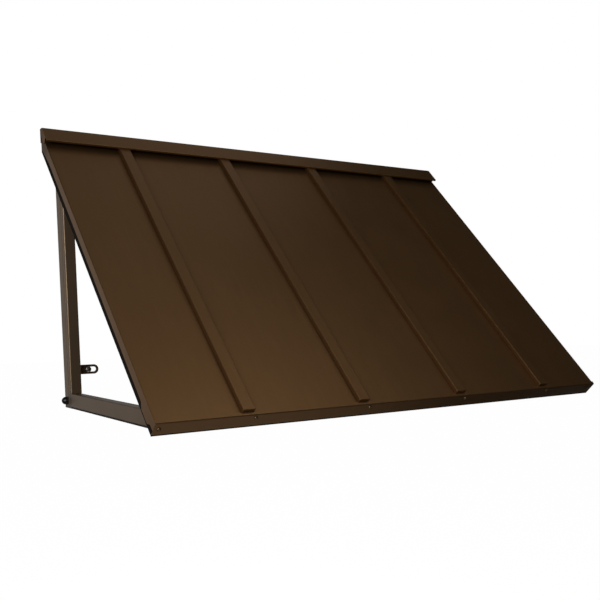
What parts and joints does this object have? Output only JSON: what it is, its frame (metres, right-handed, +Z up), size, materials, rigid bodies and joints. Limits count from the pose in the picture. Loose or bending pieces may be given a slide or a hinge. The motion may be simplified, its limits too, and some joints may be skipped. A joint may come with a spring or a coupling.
{
  "type": "fixed metal awning",
  "caption": "Sloping standing-seam sheet-metal awning on a triangular frame of square tube, for a door or window wall.",
  "frame": {"origin": "middle of the header rail's face on the wall", "axes": "+X along the width, +Y into the wall, +Z up; the roof slopes down towards -Y"},
  "size_m": [1.1206, 0.5958, 0.6213],
  "materials": {
    "roof_paint": "dark bronze powder coat, satin",
    "frame_paint": "bronze powder coat, satin",
    "dark_fitting": "dark bronze moulded plastic",
    "black_plastic": "black, semi-gloss",
    "zinc_screw": "zinc plated, satin"
  },
  "bodies": {
    "root": {"arm_left": "frame_paint", "arm_plug_left": "dark_fitting", "arm_plug_right": "dark_fitting", "arm_right": "frame_paint", "flashing_end_left": "roof_paint", "flashing_end_right": "roof_paint", "foot_bolt_left": "black_plastic", "foot_bolt_right": "black_plastic", "foot_cap_left": "dark_fitting", "foot_cap_right": "dark_fitting", "front_bar_left": "frame_paint", "front_bar_right": "frame_paint", "front_rail": "frame_paint", "front_trim": "roof_paint", "head_flashing": "roof_paint", "header_rail": "frame_paint", "pan_1": "roof_paint", "pan_2": "roof_paint", "pan_3": "roof_paint", "pan_4": "roof_paint", "pan_5": "roof_paint", "rafter_left": "frame_paint", "rafter_right": "frame_paint", "seam_cap_1": "roof_paint", "seam_cap_2": "roof_paint", "seam_cap_3": "roof_paint", "seam_cap_4": "roof_paint", "tab_screw_left": "zinc_screw", "tab_screw_right": "zinc_screw", "trim_screw_1": "zinc_screw", "trim_screw_2": "zinc_screw", "trim_screw_3": "zinc_screw", "trim_screw_4": "zinc_screw", "trim_screw_5": "zinc_screw", "trim_screw_6": "zinc_screw", "wall_post_left": "frame_paint", "wall_post_right": "frame_paint", "wall_tab_left": "frame_paint", "wall_tab_right": "frame_paint"}
  },
  "joints": []
}
